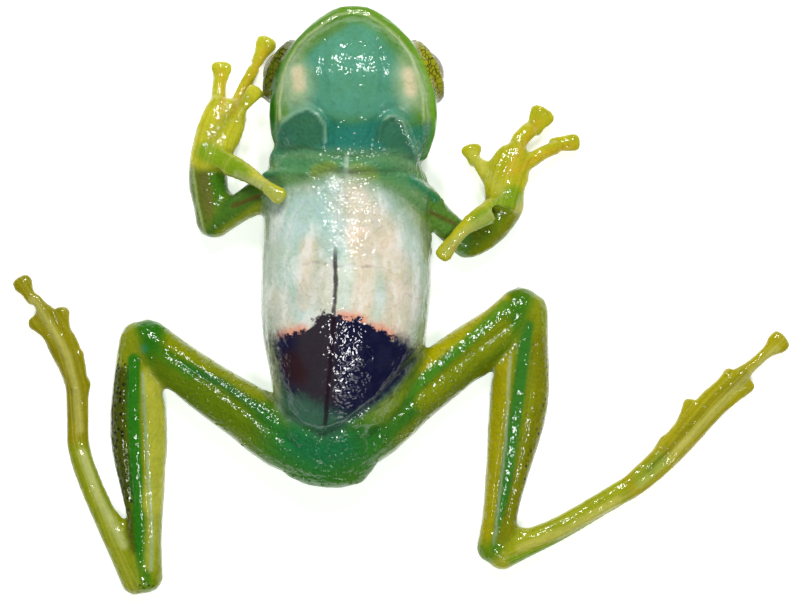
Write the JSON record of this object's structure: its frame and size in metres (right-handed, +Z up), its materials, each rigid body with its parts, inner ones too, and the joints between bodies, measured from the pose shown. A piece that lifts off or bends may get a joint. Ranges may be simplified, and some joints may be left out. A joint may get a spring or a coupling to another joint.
{
  "type": "glass frog",
  "caption": "Glass frog at life size, lying limp on its back with its white belly up, green limbs spread and webbed yellow hands and feet.",
  "frame": {"origin": "middle of the footprint on the floor that the frog lies on", "axes": "+Z up, out of the belly; +Y towards the snout; +X towards the frog's left"},
  "size_m": [0.0432, 0.0326, 0.0065],
  "materials": {
    "green_skin": "wet, finely granular translucent green skin",
    "throat_skin": "wet translucent teal skin",
    "belly_skin": "wet clear skin over a white lining, dark gut at the rear",
    "yellow_skin": "wet translucent yellow skin",
    "eye": "clear cornea over an olive-gold iris with a black net"
  },
  "bodies": {
    "root": {"belly": "belly_skin", "chest": "green_skin", "eye_left": "eye", "eye_right": "eye", "finger_1_left": "yellow_skin", "finger_1_right": "yellow_skin", "finger_2_left": "yellow_skin", "finger_2_right": "yellow_skin", "finger_3_left": "yellow_skin", "finger_3_right": "yellow_skin", "finger_4_left": "yellow_skin", "finger_4_right": "yellow_skin", "foot_left": "yellow_skin", "foot_right": "yellow_skin", "forearm_left": "green_skin", "forearm_right": "green_skin", "hand_left": "yellow_skin", "hand_right": "yellow_skin", "head": "green_skin", "lower_jaw": "throat_skin", "neck": "throat_skin", "pelvis": "green_skin", "shank_left": "green_skin", "shank_right": "green_skin", "tarsus_left": "yellow_skin", "tarsus_right": "yellow_skin", "thigh_left": "green_skin", "thigh_right": "green_skin", "toe_4_left": "yellow_skin", "toe_4_right": "yellow_skin", "upper_arm_left": "green_skin", "upper_arm_right": "green_skin"}
  },
  "joints": []
}
